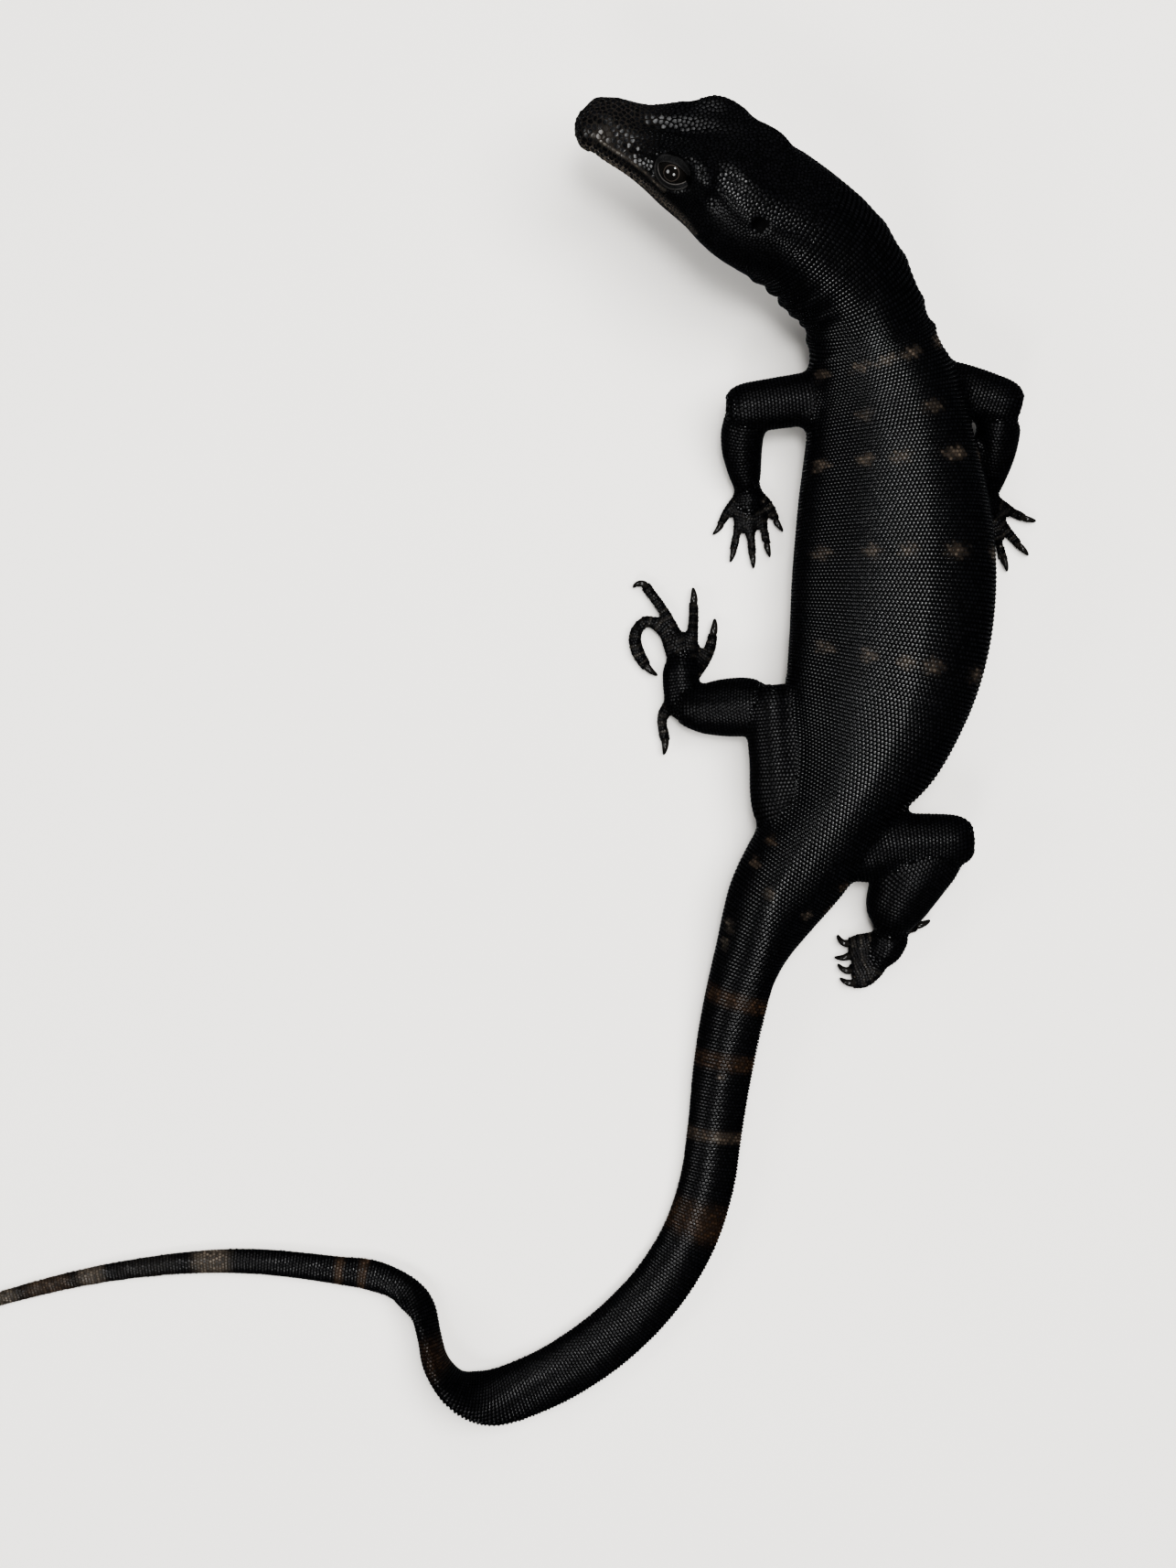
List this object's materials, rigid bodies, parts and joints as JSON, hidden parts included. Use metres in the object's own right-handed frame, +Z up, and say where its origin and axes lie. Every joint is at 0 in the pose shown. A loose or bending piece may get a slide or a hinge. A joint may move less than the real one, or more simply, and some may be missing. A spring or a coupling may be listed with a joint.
{
  "type": "water monitor lizard, still life-size model",
  "caption": "Young black water monitor lizard lying flat, head raised and turned, limbs swept back, laterally flattened tail curled round.",
  "frame": {"origin": "on the floor, in the belly's flat, under the middle of the trunk", "axes": "+Z up from the floor; the trunk faces -Y, the animal's left side is towards +X, and the tail sweeps behind to +X"},
  "size_m": [0.2116, 0.2133, 0.035],
  "materials": {
    "black_skin": "small keeled scales, satin to glossy, near black",
    "eye_dark": "wet, glossy",
    "claw_horn": "smooth dark horn"
  },
  "bodies": {
    "root": {"eye_left": "eye_dark", "eye_right": "eye_dark", "forelimb_claw_left_1": "claw_horn", "forelimb_claw_left_2": "claw_horn", "forelimb_claw_left_3": "claw_horn", "forelimb_claw_left_4": "claw_horn", "forelimb_claw_left_5": "claw_horn", "forelimb_claw_right_1": "claw_horn", "forelimb_claw_right_2": "claw_horn", "forelimb_claw_right_3": "claw_horn", "forelimb_claw_right_4": "claw_horn", "forelimb_claw_right_5": "claw_horn", "forelimb_foot_left": "black_skin", "forelimb_foot_right": "black_skin", "forelimb_lower_left": "black_skin", "forelimb_lower_right": "black_skin", "forelimb_upper_left": "black_skin", "forelimb_upper_right": "black_skin", "head": "black_skin", "hindlimb_claw_left_1": "claw_horn", "hindlimb_claw_left_2": "claw_horn", "hindlimb_claw_left_3": "claw_horn", "hindlimb_claw_left_4": "claw_horn", "hindlimb_claw_left_5": "claw_horn", "hindlimb_claw_right_1": "claw_horn", "hindlimb_claw_right_2": "claw_horn", "hindlimb_claw_right_3": "claw_horn", "hindlimb_claw_right_4": "claw_horn", "hindlimb_claw_right_5": "claw_horn", "hindlimb_foot_left": "black_skin", "hindlimb_foot_right": "black_skin", "hindlimb_lower_left": "black_skin", "hindlimb_lower_right": "black_skin", "hindlimb_upper_left": "black_skin", "hindlimb_upper_right": "black_skin", "lower_jaw": "black_skin", "neck": "black_skin", "tail_1": "black_skin", "tail_2": "black_skin", "tail_3": "black_skin", "tail_4": "black_skin", "tail_5": "black_skin", "torso": "black_skin"}
  },
  "joints": []
}
